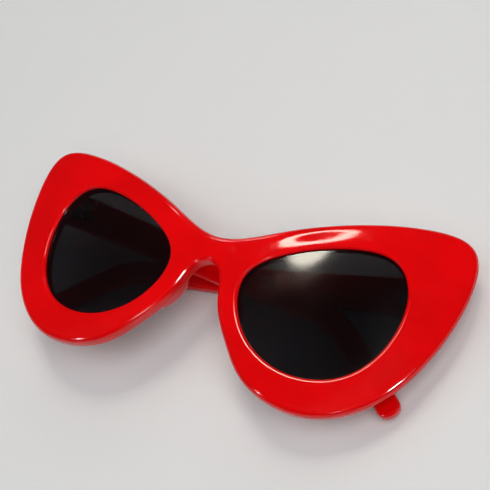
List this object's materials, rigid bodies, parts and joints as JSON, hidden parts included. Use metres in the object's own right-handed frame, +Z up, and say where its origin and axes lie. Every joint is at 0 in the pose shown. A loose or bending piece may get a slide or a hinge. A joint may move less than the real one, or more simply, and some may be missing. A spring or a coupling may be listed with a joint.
{
  "type": "cat eye sunglasses",
  "caption": "Sunglasses with a thick upswept cat eye front, dark see-through lenses, seated nose pads and folding temples with bent ends on barrel hinges.",
  "frame": {"origin": "middle of the bounding box, on the surface that the folded sunglasses lie on", "axes": "+X from the wearer's right to the wearer's left along the front, +Y from the lower rims to the upswept corners, +Z up, out of the front's face"},
  "size_m": [0.1476, 0.0636, 0.0271],
  "materials": {
    "frame": "polished red acetate, coloured right through",
    "lens": "dark neutral grey see-through lens, polished",
    "nose_pad": "polished red acetate, as the front",
    "hinge": "nickel silver hinge, satin",
    "core_wire": "drawn nickel silver wire"
  },
  "bodies": {
    "front": {"front_frame": "frame", "left_lens": "lens", "right_lens": "lens", "left_nose_pad": "nose_pad", "right_nose_pad": "nose_pad", "left_front_hinge_leaf": "hinge", "right_front_hinge_leaf": "hinge", "left_hinge_screw": "hinge", "right_hinge_screw": "hinge"},
    "left_arm": {"left_temple": "frame", "left_core_wire": "core_wire", "left_temple_hinge_leaf": "hinge"},
    "right_arm": {"right_temple": "frame", "right_core_wire": "core_wire", "right_temple_hinge_leaf": "hinge"}
  },
  "joints": [
    {"name": "left_temple_hinge", "type": "hinge", "parent": "front", "child": "left_arm", "pos_m": [0.06383, 0.01599, 0.00633], "axis": [-0.0044, -0.9976, -0.0686], "range_deg": [0, 87.85]},
    {"name": "right_temple_hinge", "type": "hinge", "parent": "front", "child": "right_arm", "pos_m": [-0.06451, 0.01599, 0.0145], "axis": [0.0044, 0.9976, 0.0686], "range_deg": [0, 92.3]}
  ]
}
